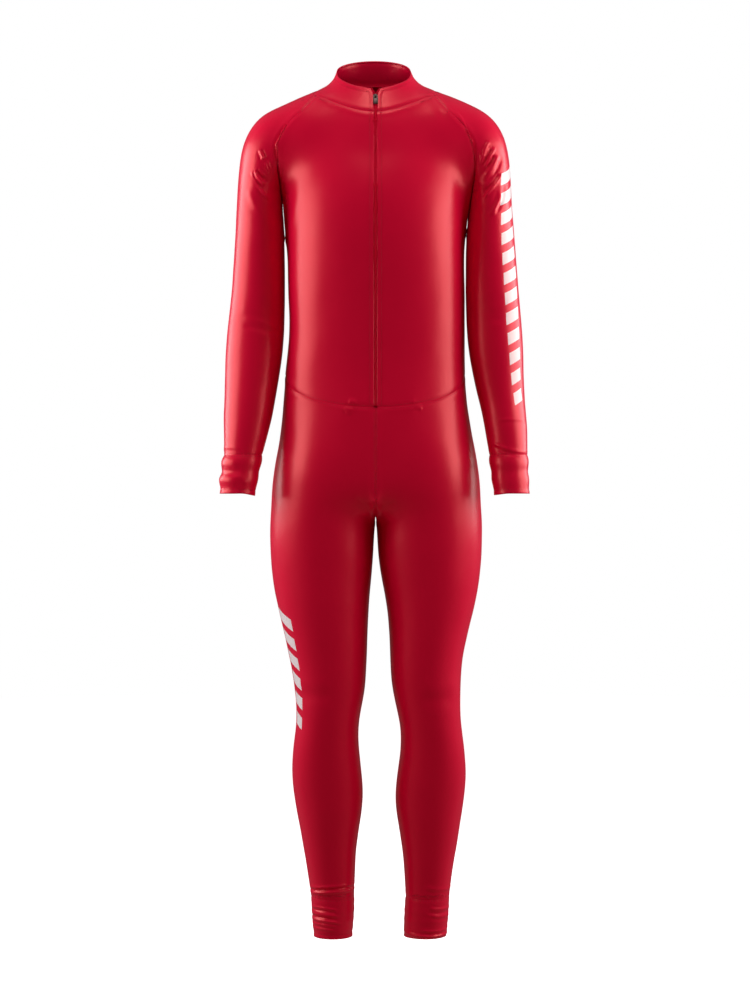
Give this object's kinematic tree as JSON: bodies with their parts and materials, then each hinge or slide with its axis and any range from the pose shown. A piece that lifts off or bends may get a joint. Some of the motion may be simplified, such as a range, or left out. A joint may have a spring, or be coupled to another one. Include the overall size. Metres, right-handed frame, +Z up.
{
  "type": "nordic ski race suit",
  "caption": "Close-fitting one-piece ski race suit, shaped as worn, with a stand collar, front zip, raglan sleeves and soft wrist and ankle bands.",
  "frame": {"origin": "middle of the neck base, at the height of the shoulders that carry the suit", "axes": "+Z up, +Y towards the back, +X towards the wearer's left"},
  "size_m": [0.5208, 0.2383, 1.4978],
  "materials": {
    "stretch_cloth": "glossy knitted elastane, red",
    "band_cloth": "soft knitted elastane, red",
    "zip_tape": "woven tape with a nylon coil, red",
    "zip_metal": "dark coated zinc alloy"
  },
  "bodies": {
    "suit": {"front_right": "stretch_cloth", "front_left": "stretch_cloth", "back": "stretch_cloth", "sleeve_right": "stretch_cloth", "sleeve_left": "stretch_cloth", "collar": "stretch_cloth", "leg_right": "stretch_cloth", "leg_left": "stretch_cloth", "cuff_right": "band_cloth", "cuff_left": "band_cloth", "ankle_band_right": "band_cloth", "ankle_band_left": "band_cloth", "zip_right": "zip_tape", "zip_left": "zip_tape", "zip_slider": "zip_metal"},
    "pull_tab": {"zip_pull_tab": "zip_metal"}
  },
  "joints": [
    {"name": "tab_swing", "type": "hinge", "parent": "suit", "child": "pull_tab", "pos_m": [0.00002, -0.07813, -0.01961], "axis": [-1, 0, 0], "range_deg": [0, 150]}
  ]
}
